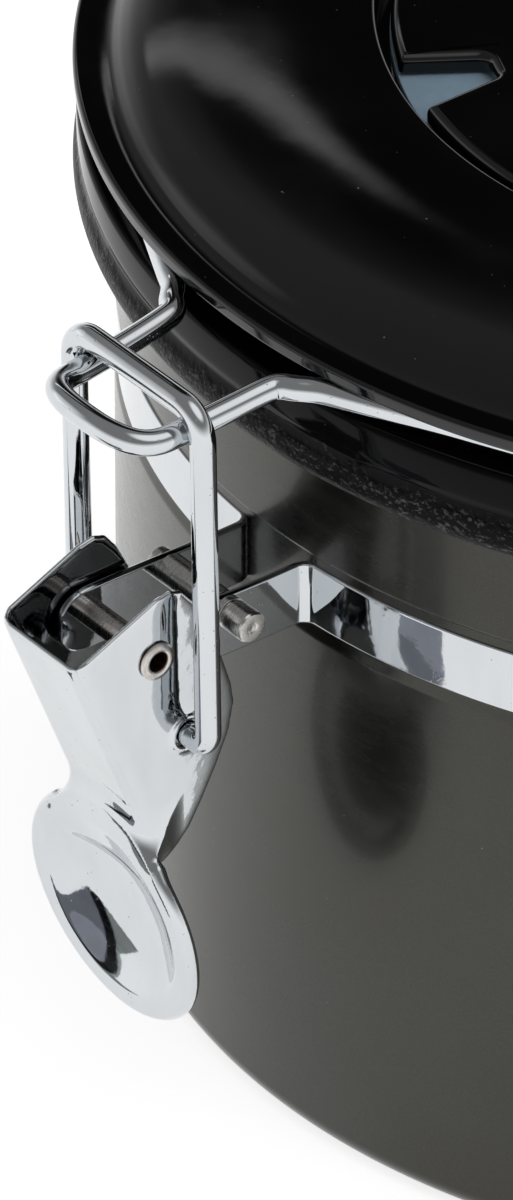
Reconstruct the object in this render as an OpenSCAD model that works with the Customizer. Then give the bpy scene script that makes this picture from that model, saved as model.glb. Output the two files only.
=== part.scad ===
// Clamp-lid storage canister: steel body, hinged plastic lid with a date dial, and a wire bail latch.
// The origin is the centre of the base. +Z is up, the latch faces -Y and the hinge is at +Y.

/* [Canister] */
// Outer radius of the canister wall
body_r = 70.8; // [70.4:0.1:71.2]
// Height of the rolled mouth
body_h = 84.4; // [84:0.1:84.6]
// Thickness of the canister's sheet steel
wall_t = 0.8; // [0.6:0.1:1]
// Height of the bottom edge of the clamp band
band_z = 59.6; // [58:0.1:60]
// Width of the band strip
band_h = 6.7; // [6.5:0.1:7]

/* [Lid] */
// Outer radius of the lid's rim
lid_r = 75.2; // [75:0.1:75.6]
// Height of the underside of the lid's rim
rim_z = 91.5; // [91.4:0.1:91.7]
// Radius of the recess that holds the dial
recess_r = 46.5; // [46:0.1:47]
// Radius of the turning dial
dial_r = 45; // [44:0.1:45.2]
// Width of the window in the dial's edge
window_w = 8.6; // [6:0.1:10]

/* [Latch] */
// Distance from the canister's axis to the lever's rivet
rivet_out = 90.2; // [90:0.1:90.5]
// Height of the lever's rivet
rivet_z = 64.3; // [64:0.1:64.4]
// Half of the lever's outer width across its flanges
lever_half = 6.1; // [6:0.1:6.2]
// How far the lever sits to one side on its rivet
lever_shift = 0.4; // [0:0.1:0.4]
// Radius of the thumb disc
thumb_r = 12.2; // [11:0.1:12.4]
// Diameter of the latch and lid wires
wire_d = 2.5; // [2.4:0.1:2.5]

/* [Hinge] */
// Distance from the canister's axis to the hinge axis
hinge_out = 78.6; // [78.4:0.1:79]
// Height of the hinge axis
hinge_z = 63; // [62:0.1:63.5]

/* [Hidden] */
$fn = 96;

wire_r = wire_d / 2;
run_gap = 0.06;

// Canister
foot_r = 2.6;
groove_d = 0.4;
bead_r = 1.2;
bead_centre = [body_r - bead_r + 0.6, body_h - bead_r];
band_t = 0.8;
band_in = body_r - groove_d + 0.05;
band_out = band_in + band_t;
ear_x = 3.9;
ear_t = 0.8;
ear_top = band_z + band_h + 0.3;

// Lid
ring_r = 72;
ring_z = 90.2;
groove_r = 70.6;
collar_top = 88.4;
collar_in = 72;
ledge_z = 86.8;
gasket_in = 67;
lid_t = 1.6;
lid_top = 97.8;
floor_z = 94;
disc_t = 0.8;
dial_z = floor_z + disc_t + 0.2;
dial_t = 2;
window_turn = 22;
window_depth = 8.3;
window_skew = 3.9;
boss_r = 4;
screw_ring = 30;
liner_z = 85.2;
valve_r = 11;

// Latch
pin_out = 80.5;
pin_z = 64.9;
shank_r = 1.35;
bore_r = 1;
lever_t = 0.7;
bail_out = 86.6;
bail_z = 54.6;
bail_half = 9.7;
bail_top = 91.9;
bail_top_out = 87.2;
bail_corner = 3;
thumb_out = 91.2;
thumb_z = 32.9;
thumb_tilt = 8;
bowl_depth = 2.2;

// Hinge
cheek_x = 7.4;
cheek_t = 1.2;
hinge_leg_x = 10.4;
elbow_r = 1.8;
stub_r = wire_r + 0.03;

// Points along an arc from angle a0 to angle a1, in steps steps
function arc(centre, r, a0, a1, steps) = [
    for (i = [0 : steps])
        let (a = a0 + (a1 - a0) * i / steps)
            [centre[0] + r * cos(a), centre[1] + r * sin(a)]
];

function unit(v) = v / norm(v);

// Direction of a path at each of its points
function tangents(path) = [
    for (i = [0 : len(path) - 1])
        unit(path[min(i + 1, len(path) - 1)] - path[max(i - 1, 0)])
];

// Side directions carried along the path without twist
function sides_along(t, first) = [
    for (i = 0, s = unit(first - (first * t[0]) * t[0]);
         i < len(t);
         i = i + 1, s = i < len(t) ? unit(s - (s * t[i]) * t[i]) : s)
        s
];

// Round wire swept along a path of points
module wire(path, r, first, sides = 12) {
    t = tangents(path);
    s = sides_along(t, first);
    points = [
        for (i = [0 : len(path) - 1], k = [0 : sides - 1])
            let (a = 360 * k / sides)
                path[i] + r * (cos(a) * s[i] + sin(a) * cross(t[i], s[i]))
    ];
    last = (len(path) - 1) * sides;
    faces = concat(
        [[for (k = [0 : sides - 1]) k]],
        [[for (k = [sides - 1 : -1 : 0]) last + k]],
        [
            for (i = [0 : len(path) - 2], k = [0 : sides - 1])
                [i * sides + k, (i + 1) * sides + k, (i + 1) * sides + (k + 1) % sides, i * sides + (k + 1) % sides]
        ]
    );
    polyhedron(points, faces, convexity = 10);
}

// Cylinder along X between two positions
module bar_x(x0, x1, y, z, r) {
    translate([x0, y, z]) rotate([0, 90, 0]) cylinder(h = x1 - x0, r = r);
}

// Plate cut to an outline in the Y-Z plane, from x0 to x1
module side_plate(x0, x1) {
    translate([x0, 0, 0]) rotate([90, 0, 90]) linear_extrude(height = x1 - x0) children();
}

module body_shell() {
    in_r = body_r - wall_t;
    groove_top = band_z + band_h + 1.5;
    groove_bottom = band_z - 0.6;
    color([0.31, 0.31, 0.28])
        rotate_extrude()
            union() {
                polygon(concat(
                    arc([body_r - foot_r, foot_r], foot_r, -90, 0, 8),
                    [[body_r, groove_bottom - 0.5], [body_r - groove_d, groove_bottom]],
                    [[body_r - groove_d, groove_top - 0.6], [body_r, groove_top]],
                    [[body_r, bead_centre[1]], [in_r, bead_centre[1]]],
                    [[in_r, groove_top], [in_r - groove_d, groove_top - 0.6]],
                    [[in_r - groove_d, groove_bottom], [in_r, groove_bottom - 0.5]],
                    arc([body_r - foot_r, foot_r], foot_r - wall_t, 0, -90, 8),
                    [[body_r - foot_r - 3, wall_t], [body_r - foot_r - 3, 0]]
                ));
                translate(bead_centre) circle(r = bead_r, $fn = 32);
            }
}

module base_pan() {
    edge_r = body_r - foot_r - 3;
    color([0.66, 0.66, 0.66])
        rotate_extrude()
            polygon([
                [0, 0], [48, 0], [49, 0.7], [53, 0.7], [54, 0], [edge_r, 0], [edge_r, wall_t],
                [edge_r + 2.4, wall_t], [edge_r + 2.4, 2 * wall_t], [edge_r - 0.9, 2 * wall_t],
                [edge_r - 1.2, wall_t], [54.5, wall_t], [53.3, 1.5], [48.7, 1.5], [47.6, wall_t], [0, wall_t]
            ]);
}

// Side outline of one ear of the band, with its two pin holes
module ear_outline() {
    end_r = (ear_top - band_z - 0.2) / 2;
    difference() {
        union() {
            translate([-rivet_out, band_z]) square([rivet_out - band_in - 0.4, ear_top - band_z - 0.3]);
            translate([-rivet_out, ear_top - end_r]) circle(r = end_r);
        }
        translate([-rivet_out, rivet_z]) circle(r = shank_r);
        translate([-pin_out, pin_z]) circle(r = 1.1);
    }
}

module clamp_band() {
    gap = 2 * (ear_x + ear_t);
    color([0.86, 0.87, 0.88])
        union() {
            difference() {
                translate([0, 0, band_z]) cylinder(h = band_h, r = band_out);
                translate([0, 0, band_z - 1]) cylinder(h = band_h + 2, r = band_in);
                translate([-gap / 2, -band_out - 1, band_z - 1]) cube([gap, 10, band_h + 2]);
            }
            side_plate(ear_x, ear_x + ear_t + 0.05) ear_outline();
            side_plate(-ear_x - ear_t - 0.05, -ear_x) ear_outline();
        }
}

module cross_pin() {
    ear_out = ear_x + ear_t + 0.05;
    color([0.72, 0.71, 0.69])
        union() {
            bar_x(-ear_out - 1.1, 8.3, -pin_out, pin_z, 1.1);
            bar_x(-ear_x, ear_x, -pin_out, pin_z, 1.6);
            bar_x(-ear_out - 1.1, -ear_out, -pin_out, pin_z, 1.5);
            bar_x(ear_out, 5.5, -pin_out, pin_z, 1.6);
            bar_x(5.5, 5.9, -pin_out, pin_z, 1.4);
            bar_x(5.9, 8.3, -pin_out, pin_z, 1.6);
            translate([8.3, -pin_out, pin_z]) rotate([0, 90, 0]) cylinder(h = 0.3, r1 = 1.6, r2 = 1.35);
        }
}

module pivot_rivet() {
    left = -lever_half + lever_shift;
    right = lever_half + lever_shift;
    head_t = 0.45;
    color([0.62, 0.6, 0.58])
        difference() {
            union() {
                bar_x(left - 0.05 - head_t, right + 0.05 + head_t, -rivet_out, rivet_z, shank_r);
                bar_x(right + 0.05, right + 0.05 + head_t, -rivet_out, rivet_z, 1.95);
                bar_x(left - 0.05 - head_t, left - 0.05, -rivet_out, rivet_z, 1.95);
            }
            bar_x(left - 2, right + 2, -rivet_out, rivet_z, bore_r);
        }
}

// Spacer between one ear and the lever's flange
module rivet_washer() {
    ear_out = ear_x + ear_t + 0.05;
    flange_in = lever_half + lever_shift - lever_t;
    color([0.75, 0.74, 0.72])
        difference() {
            bar_x(ear_out, flange_in - 0.05, -rivet_out, rivet_z, 2.1);
            bar_x(ear_out - 1, flange_in + 1, -rivet_out, rivet_z, shank_r);
        }
}

module hinge_bracket() {
    cheek_out = cheek_x + cheek_t;
    plate_in = band_out + 0.02;
    plate_low = band_z - 2.4;
    plate_h = band_h + 4.8;
    color([0.84, 0.85, 0.86])
        union() {
            intersection() {
                difference() {
                    translate([0, 0, plate_low]) cylinder(h = plate_h, r = plate_in + 1);
                    translate([0, 0, plate_low - 1]) cylinder(h = plate_h + 2, r = plate_in);
                }
                translate([-15, 40, plate_low - 1]) cube([30, 60, plate_h + 2]);
            }
            for (x0 = [-cheek_out, cheek_x])
                side_plate(x0, x0 + cheek_t)
                    difference() {
                        union() {
                            translate([plate_in - 0.05, hinge_z - 4]) square([hinge_out - plate_in, 8]);
                            translate([hinge_out, hinge_z]) circle(r = 4);
                        }
                        translate([hinge_out, hinge_z]) circle(r = stub_r + run_gap);
                    }
        }
}

// Side outline of one flange of the lever
module flange_outline() {
    difference() {
        polygon([
            [-99.6, 66.4], [-98.4, 67.3], [-90.2, 70.9], [-88.4, 71.2], [-87, 70.7], [-85.6, 68.9], [-83.7, 65],
            [-82.2, 61], [-81.2, 57.8], [-80.9, 55.6], [-81.4, 53], [-83, 49], [-84.8, 45], [-85.9, 42.6],
            [-88, 42], [-90.4, 44]
        ]);
        translate([-rivet_out, rivet_z]) circle(r = shank_r + run_gap);
        translate([-bail_out, bail_z]) circle(r = wire_r + 0.1);
    }
}

module latch_lever() {
    color([0.87, 0.88, 0.89])
        translate([lever_shift, 0, 0])
            union() {
                side_plate(lever_half - lever_t, lever_half) flange_outline();
                side_plate(-lever_half, -lever_half + lever_t) flange_outline();
                side_plate(-lever_half, lever_half)
                    polygon([[-99.6, 66.4], [-98.8, 66.7], [-89.6, 44.4], [-90.2, 42], [-91, 42.2], [-91, 43.6]]);
                side_plate(-4.6, 4.6)
                    polygon([[-91, 44.6], [-90.2, 45], [-88.9, 42], [-89.6, 35], [-90.6, 35], [-91.6, 42]]);
                translate([0, -thumb_out, thumb_z]) rotate([90 + thumb_tilt, 0, 0]) thumb_disc();
            }
}

// Pressed thumb disc facing along +Z: flat ring, rolled rim and a dished middle
module thumb_disc() {
    rotate_extrude()
        union() {
            polygon(concat(
                [[0, -bowl_depth]],
                [for (i = [1 : 9]) [i, -bowl_depth + (bowl_depth + 0.1) * pow(i / 9, 2.6)]],
                [[10, 0], [thumb_r - 0.5, 0], [thumb_r - 0.5, -lever_t], [10, -lever_t]],
                [for (i = [9 : -1 : 1]) [i, -bowl_depth - lever_t + (bowl_depth + 0.1) * pow(i / 9, 2.6)]],
                [[0, -bowl_depth - lever_t]]
            ));
            translate([thumb_r - 0.7, -0.7]) circle(r = 0.7, $fn = 24);
        }
}

module latch_bail() {
    lean = atan((bail_out - bail_top_out) / (bail_top - bail_z));
    length = (bail_top - bail_z) / cos(lean);
    color([0.88, 0.89, 0.9])
        translate([0, -bail_out, bail_z])
            rotate([-lean, 0, 0])
                union() {
                    bail_side(length);
                    mirror([1, 0, 0]) bail_side(length);
                }
}

// Half of the bail: stub in the lever's flange, elbow, leg, corner and half of the bar
module bail_side(length) {
    stub_in = lever_half - lever_t - 1.3;
    bar_x(stub_in, bail_half - elbow_r, 0, 0, wire_r);
    translate([bail_half - elbow_r, 0, elbow_r]) rotate([90, 0, 0]) rotate([0, 0, -90]) bend(elbow_r, 90);
    translate([bail_half, 0, elbow_r]) cylinder(h = length - elbow_r - bail_corner, r = wire_r);
    translate([bail_half - bail_corner, 0, length - bail_corner]) rotate([90, 0, 0]) bend(bail_corner, 90);
    bar_x(0, bail_half - bail_corner, 0, length, wire_r);
}

// Bend of the wire in the X-Y plane, from the X axis round the origin
module bend(r, angle) {
    rotate_extrude(angle = angle) translate([r, 0]) circle(r = wire_r);
}

// Upper surface of the lid from the dial recess to the rim
function lid_outline() = concat(
    [[recess_r, floor_z], [recess_r, 96.2], [recess_r + 0.5, 96.9], [recess_r + 1.5, 97.45]],
    [[49.5, 97.7], [52, lid_top], [55, 97.72], [58, 97.5], [61, 97.15], [64, 96.66], [66, 96.2], [68, 95.6]],
    [[69.4, 95], [70.4, 94.35], [71.1, 93.7], [71.5, 93.25], [71.9, rim_z + 1.6], [73.6, rim_z + 1.6]],
    arc([lid_r - 0.8, rim_z + 0.8], 0.8, 90, -90, 8)
);

module lid_shell() {
    color([0.04, 0.04, 0.045])
        difference() {
            union() {
                rotate_extrude()
                    polygon(concat(
                        [[boss_r, floor_z]],
                        lid_outline(),
                        [[groove_r, rim_z], [groove_r, collar_top], [gasket_in, collar_top], [gasket_in, 94]],
                        [[64, 95], [recess_r + lid_t, 95.6], [recess_r + lid_t, floor_z - lid_t]],
                        [[boss_r, floor_z - lid_t]]
                    ));
                for (a = [45 : 90 : 315])
                    rotate([0, 0, a])
                        translate([screw_ring, 0, liner_z + 1])
                            difference() {
                                cylinder(h = floor_z - liner_z - 1.5, r = 3);
                                translate([0, 0, -1]) cylinder(h = 6, r = 1.2);
                            }
            }
            for (a = [0 : 60 : 300])
                rotate([0, 0, a]) translate([7.6, 0, floor_z - 3]) cylinder(h = 4, r = 0.9);
        }
}

module lid_collar() {
    lip_z = 79.6;
    color([0.05, 0.05, 0.055])
        rotate_extrude()
            polygon(concat(
                [[gasket_in, ledge_z], [gasket_in, collar_top], [74.2, collar_top]],
                arc([74.2, collar_top - 0.7], 0.7, 80, 10, 4),
                [[74.9, 85], [74.7, 84.2], [74.8, 83.4], [75.1, 82.6], [75.25, 81.8], [75.2, 80.9], [74.8, lip_z + 0.4]],
                [[74, lip_z], [72.8, lip_z], [collar_in, 80.6], [collar_in, ledge_z]]
            ));
}

// Path of half of the lid's wire, from its hinge stub round to the middle of the nose
function ring_half() = concat(
    [for (a = [0 : 15 : 90]) [hinge_leg_x - elbow_r + elbow_r * sin(a), hinge_out, hinge_z + elbow_r - elbow_r * cos(a)]],
    [[hinge_leg_x, hinge_out, 70], [hinge_leg_x, hinge_out, 78]],
    [for (a = [0 : 15 : 90]) [hinge_leg_x, hinge_out - 3 + 3 * cos(a), ring_z - 3 + 3 * sin(a)]],
    [for (a = [18 : 24 : 66]) [hinge_leg_x + 2 - 2 * cos(a), 73.1 - 2 * sin(a), ring_z]],
    [for (a = [168 : -6 : 12]) [ring_r * sin(a), -ring_r * cos(a), ring_z]],
    [[10.2, -71.5, ring_z], [8.8, -72.3, ring_z], [7.9, -73.7, ring_z], [7.55, -75.4, ring_z - 0.05]],
    [[7.5, -77.4, 90], [7.25, -82.5, 89.45], [6.95, -88, 88.9], [6.8, -90, 88.85]],
    [[6.2, -91.5, 89], [5, -92.5, 89.2], [3.2, -93.1, 89.35], [1.2, -93.3, 89.4]]
);

module lid_ring() {
    half = ring_half();
    other = [for (i = [len(half) - 1 : -1 : 0]) [-half[i][0], half[i][1], half[i][2]]];
    stub_in = cheek_x - 1;
    color([0.88, 0.89, 0.9])
        union() {
            wire(concat(half, other), wire_r, [0, 1, 0]);
            bar_x(stub_in, hinge_leg_x - elbow_r + 0.2, hinge_out, hinge_z, stub_r);
            bar_x(-hinge_leg_x + elbow_r - 0.2, -stub_in, hinge_out, hinge_z, stub_r);
        }
}

module lid_gasket() {
    color([0.12, 0.12, 0.12])
        rotate_extrude()
            polygon([
                [gasket_in, body_h + 0.35], [collar_in - 0.3, body_h + 0.35], [collar_in - 0.3, ledge_z],
                [gasket_in, ledge_z]
            ]);
}

module lid_liner() {
    color([0.9, 0.9, 0.9])
        difference() {
            rotate_extrude()
                polygon([
                    [valve_r, liner_z], [63, liner_z], [gasket_in, liner_z + 0.4], [gasket_in, liner_z + 1.4],
                    [62.6, liner_z + 1], [valve_r, liner_z + 1]
                ]);
            for (a = [45 : 90 : 315])
                rotate([0, 0, a]) translate([screw_ring, 0, liner_z - 1]) cylinder(h = 4, r = 1.4);
        }
}

// Four pan-head screws that hold the liner
module liner_screws() {
    color([0.7, 0.7, 0.7])
        for (a = [45 : 90 : 315])
            rotate([0, 0, a])
                translate([screw_ring, 0, liner_z])
                    difference() {
                        union() {
                            translate([0, 0, -1.4]) cylinder(h = 1.4, r1 = 2.1, r2 = 2.6);
                            cylinder(h = 5, r = 1.2);
                        }
                        translate([-1.5, -0.3, -1.5]) cube([3, 0.6, 0.8]);
                        translate([-0.3, -1.5, -1.5]) cube([0.6, 3, 0.8]);
                    }
}

// Pale disc under the dial that the window shows
module number_disc() {
    color([0.62, 0.74, 0.84])
        translate([0, 0, floor_z])
            difference() {
                cylinder(h = disc_t, r = dial_r + 0.6);
                translate([0, 0, -1]) cylinder(h = 3, r = 10);
            }
}

module date_dial() {
    mouth = asin(window_w / 2 / dial_r);
    middle = -90 - window_turn;
    color([0.04, 0.04, 0.045])
        difference() {
            rotate_extrude()
                polygon(concat(
                    [[boss_r + run_gap, dial_z], [dial_r - 0.4, dial_z]],
                    arc([dial_r - 0.9, dial_z + dial_t - 1.1], 0.9, -10, 90, 6),
                    [[30, dial_z + dial_t + 0.1], [7.5, dial_z + dial_t + 0.1], [7.5, dial_z + dial_t - 0.9]],
                    [[boss_r + run_gap, dial_z + dial_t - 0.9]]
                ));
            translate([0, 0, dial_z - 1])
                linear_extrude(height = dial_t + 3)
                    polygon([
                        (dial_r + 3) * [cos(middle - mouth), sin(middle - mouth)],
                        (dial_r + 3) * [cos(middle + mouth), sin(middle + mouth)],
                        (dial_r - window_depth) * [cos(middle + 1.6), sin(middle + 1.6)],
                        (dial_r - window_depth) * [cos(middle - window_skew), sin(middle - window_skew)]
                    ]);
        }
}

// Flanged spindle that the dial turns on; its bore lets the valve breathe
module dial_pivot() {
    head_z = dial_z + dial_t - 0.8;
    color([0.08, 0.08, 0.085])
        rotate_extrude()
            polygon([
                [1.2, floor_z - lid_t - 1.6], [6, floor_z - lid_t - 1.6], [6, floor_z - lid_t],
                [boss_r, floor_z - lid_t], [boss_r, head_z], [7, head_z], [7, head_z + 0.5], [6.6, head_z + 0.9],
                [1.2, head_z + 0.9]
            ]);
}

// Spring washer that gives the dial its drag
module wave_washer() {
    color([0.78, 0.78, 0.76])
        translate([0, 0, floor_z])
            difference() {
                cylinder(h = 0.6, r = 6.4);
                translate([0, 0, -1]) cylinder(h = 3, r = boss_r + 0.3);
            }
}

module valve_body() {
    color([0.85, 0.86, 0.86])
        difference() {
            rotate_extrude()
                polygon([
                    [2.2, liner_z + 1.6], [8, liner_z + 1.6], [8, liner_z - 0.8], [valve_r + 1.5, liner_z - 0.8],
                    [valve_r + 1.5, liner_z], [valve_r, liner_z], [valve_r, liner_z + 4.4], [9.6, liner_z + 4.4],
                    [9.6, liner_z + 2.6], [2.2, liner_z + 2.6]
                ]);
            for (a = [0 : 60 : 300])
                rotate([0, 0, a]) translate([5, 0, liner_z]) cylinder(h = 5, r = 0.8);
        }
}

// Soft flap that lets gas out and no air in
module valve_flap() {
    color([0.8, 0.35, 0.2])
        rotate_extrude()
            polygon([
                [0, liner_z + 2.6], [7.4, liner_z + 2.6], [7.4, liner_z + 3.2], [2, liner_z + 3.4], [0, liner_z + 3.4]
            ]);
}

module valve_filter() {
    color([0.92, 0.91, 0.88])
        translate([0, 0, liner_z - 0.2]) cylinder(h = 1.8, r = 8);
}

module valve_cap() {
    color([0.85, 0.86, 0.86])
        difference() {
            translate([0, 0, liner_z + 3.6]) cylinder(h = 0.8, r = 9.6);
            for (a = [30 : 60 : 330])
                rotate([0, 0, a]) translate([5.5, 0, liner_z + 3]) cylinder(h = 2, r = 1);
        }
}

body_shell();
base_pan();
clamp_band();
cross_pin();
pivot_rivet();
rivet_washer();
hinge_bracket();
latch_lever();
latch_bail();
lid_shell();
lid_collar();
lid_ring();
lid_gasket();
lid_liner();
liner_screws();
number_disc();
date_dial();
dial_pivot();
wave_washer();
valve_body();
valve_flap();
valve_filter();
valve_cap();
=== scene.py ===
import itertools
import math

import bmesh
import bpy
import numpy as np
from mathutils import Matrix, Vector


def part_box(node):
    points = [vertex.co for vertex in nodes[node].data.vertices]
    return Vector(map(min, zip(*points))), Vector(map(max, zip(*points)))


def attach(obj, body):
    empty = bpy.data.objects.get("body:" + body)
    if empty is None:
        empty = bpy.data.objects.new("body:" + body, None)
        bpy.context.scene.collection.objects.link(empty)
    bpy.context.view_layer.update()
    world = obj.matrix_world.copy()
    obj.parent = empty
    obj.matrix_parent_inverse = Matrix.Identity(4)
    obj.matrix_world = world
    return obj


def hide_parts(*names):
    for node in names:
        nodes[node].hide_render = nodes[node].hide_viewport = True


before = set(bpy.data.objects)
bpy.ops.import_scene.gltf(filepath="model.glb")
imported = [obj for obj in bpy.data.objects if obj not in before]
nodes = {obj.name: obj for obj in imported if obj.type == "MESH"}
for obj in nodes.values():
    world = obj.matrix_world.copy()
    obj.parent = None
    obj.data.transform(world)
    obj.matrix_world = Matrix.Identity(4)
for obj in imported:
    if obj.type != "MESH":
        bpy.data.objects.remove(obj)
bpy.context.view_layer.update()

MM = 0.001
scene = bpy.context.scene


def mm(node):
    """Box of a CAD node in millimetres: (lowest corner, highest corner)."""
    lo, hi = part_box(node)
    return lo / MM, hi / MM


# ---------------------------------------------------------------- sizes in millimetres, angles in degrees
BODY_R = mm("body_shell")[1].x                      # outside of the wall
WALL, FOOT_R, GROOVE = 0.8, 2.6, 0.4                # wall, foot's rounding, depth of the band's groove
BAND_Z, BAND_TOP, BAND_T, BAND_R = 59.6, 66.3, 0.8, 70.86       # BAND_R: middle of the sheet
EAR_X, EAR_BEND, EAR_HALF = 4.3, 1.6, 3.4           # ears: middle of the sheet, bend radius, half height
PIN_Y, PIN_Z, PIN_R = -80.5, 64.9, 1.6
RIVET_Y, RIVET_Z, RIVET_R, RIVET_BORE = -90.2, 64.3, 1.34, 1.0
LEVER_X, LEVER_HALF, LEVER_T, LEVER_CORNER = 0.4, 6.1, 0.7, 1.35
WEB_Y, WEB_Z = -99.6, 66.4                          # upper end of the web's face
WEB_NORMAL = (0.9331, 0.3595)                       # (y, z), leaning 21 degrees
DISC_Y, DISC_Z, DISC_R = -91.2, 32.9, 11.75         # thumb disc
DISC_NORMAL = (0.9903, 0.1392)                      # (y, z), leaning 8 degrees
DISH_R, DISH_DEPTH = 9.8, 2.3
WIRE_R = 1.25                                       # bail and lid ring
BAIL_Y, BAIL_Z, BAIL_TOP_Y, BAIL_TOP_Z, BAIL_HALF = -86.6, 54.6, -87.2, 91.9, 9.7
RING_R, RING_Z = 72, 90.2
DIAL_R, WINDOW_AT, WINDOW_DEPTH, WINDOW_HALF = 45, -112, 8.3, 4.3


# ---------------------------------------------------------------- mesh helpers (millimetres)
def rounded(points, radius, steps=5, closed=True):
    """Outline with its corners rounded; radius is one number or one for each point."""
    n = len(points)
    radii = radius if isinstance(radius, (list, tuple)) else [radius] * n
    out = []
    for i, p in enumerate(points):
        r = radii[i]
        if r <= 0 or (not closed and i in (0, n - 1)):
            out.append(tuple(p))
            continue
        p = np.array(p, float)
        a = np.array(points[i - 1], float) - p
        b = np.array(points[(i + 1) % n], float) - p
        la, lb = np.linalg.norm(a), np.linalg.norm(b)
        a, b = a / la, b / lb
        half = math.acos(max(-1, min(1, float(a @ b)))) / 2
        if half > math.radians(88):
            out.append(tuple(p))
            continue
        cut = min(r / math.tan(half), 0.49 * la, 0.49 * lb)
        r = cut * math.tan(half)
        mid = (a + b) / np.linalg.norm(a + b)
        centre = p + mid * r / math.sin(half)
        s, e = p + a * cut - centre, p + b * cut - centre
        turn = math.atan2(s[0] * e[1] - s[1] * e[0], s @ e)
        for k in range(steps + 1):
            t = turn * k / steps
            out.append((centre[0] + s[0] * math.cos(t) - s[1] * math.sin(t),
                        centre[1] + s[0] * math.sin(t) + s[1] * math.cos(t)))
    return out


def arc(cx, cy, r, a0, a1, n):
    return [(cx + r * math.cos(math.radians(a0 + (a1 - a0) * i / n)),
             cy + r * math.sin(math.radians(a0 + (a1 - a0) * i / n))) for i in range(n + 1)]


def lathe(profile, steps=288, axis="z", at=(0, 0, 0)):
    """Closed profile of (radius, height) turned about Z, or about X."""
    verts, faces, n = [], [], len(profile)
    for i in range(steps):
        c, s = math.cos(2 * math.pi * i / steps), math.sin(2 * math.pi * i / steps)
        for r, h in profile:
            v = (r * c, r * s, h) if axis == "z" else (h, r * c, r * s)
            verts.append((v[0] + at[0], v[1] + at[1], v[2] + at[2]))
    for i in range(steps):
        j = (i + 1) % steps
        for k in range(n):
            m = (k + 1) % n
            faces.append((i * n + k, j * n + k, j * n + m, i * n + m))
    return verts, faces


def spline(points, per=6):
    """Smooth curve through the points."""
    p = [np.array(q, float) for q in points]
    p = [2 * p[0] - p[1], *p, 2 * p[-1] - p[-2]]
    out = []
    for i in range(1, len(p) - 2):
        a, b, c, d = p[i - 1], p[i], p[i + 1], p[i + 2]
        for k in range(per):
            t = k / per
            out.append(0.5 * (2 * b + (c - a) * t + (2 * a - 5 * b + 4 * c - d) * t * t
                              + (3 * b - a - 3 * c + d) * t ** 3))
    return out + [p[-2]]


def sweep(path, r, sides=28):
    """Round wire along a path, with domed ends."""
    p = np.array(path, float)
    t = np.gradient(p, axis=0)
    t /= np.linalg.norm(t, axis=1)[:, None]
    side = np.cross(t[0], (0.3, 0.5, 0.81))
    verts, faces = [], []
    rings = [(0, s, -o) for s, o in ((0.55, 0.0), (0.85, -0.08), (1, -0.25))]
    rings += [(i, 1, 0) for i in range(1, len(p) - 1)]
    rings += [(len(p) - 1, s, o) for s, o in ((1, -0.25), (0.85, -0.08), (0.55, 0.0))]
    for i, scale, push in rings:
        side = side - (side @ t[i]) * t[i]
        side /= np.linalg.norm(side)
        up = np.cross(t[i], side)
        for k in range(sides):
            a = 2 * math.pi * k / sides
            verts.append(tuple(p[i] + t[i] * push + r * scale * (math.cos(a) * side + math.sin(a) * up)))
    for i in range(len(rings) - 1):
        for k in range(sides):
            m = (k + 1) % sides
            faces.append((i * sides + k, i * sides + m, (i + 1) * sides + m, (i + 1) * sides + k))
    faces.append(tuple(reversed(range(sides))))
    faces.append(tuple((len(rings) - 1) * sides + k for k in range(sides)))
    return verts, faces


def smax(a, b, k):
    return 0.5 * (a + b + np.sqrt((a - b) ** 2 + k * k))


def smin(a, b, k):
    return 0.5 * (a + b - np.sqrt((a - b) ** 2 + k * k))


def weld(a, b, k):
    """Union with a fillet of size k."""
    h = np.maximum(k - np.abs(a - b), 0) / k
    return np.minimum(a, b) - h * h * k / 4


def step01(x, a, b):
    t = np.clip((x - a) / (b - a), 0, 1)
    return t * t * (3 - 2 * t)


def outline_distance(y, z, points):
    """Signed distance to a closed outline, negative inside."""
    d = np.full(y.shape, 1e9)
    sign = np.ones(y.shape)
    for i in range(len(points)):
        (ay, az), (by, bz) = points[i], points[i - 1]
        ey, ez = by - ay, bz - az
        wy, wz = y - ay, z - az
        t = np.clip((wy * ey + wz * ez) / (ey * ey + ez * ez), 0, 1)
        d = np.minimum(d, (wy - ey * t) ** 2 + (wz - ez * t) ** 2)
        c1, c2, c3 = z >= az, z < bz, ey * wz > ez * wy
        sign = np.where((c1 & c2 & c3) | (~c1 & ~c2 & ~c3), -sign, sign)
    return sign * np.sqrt(d)


def gradient(f, v, h=0.01):
    """Slope of f along X, Y and Z at each point of v."""
    return np.stack([(f(*(v + h * e).T) - f(*(v - h * e).T)) / (2 * h) for e in np.eye(3)], 1)


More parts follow.
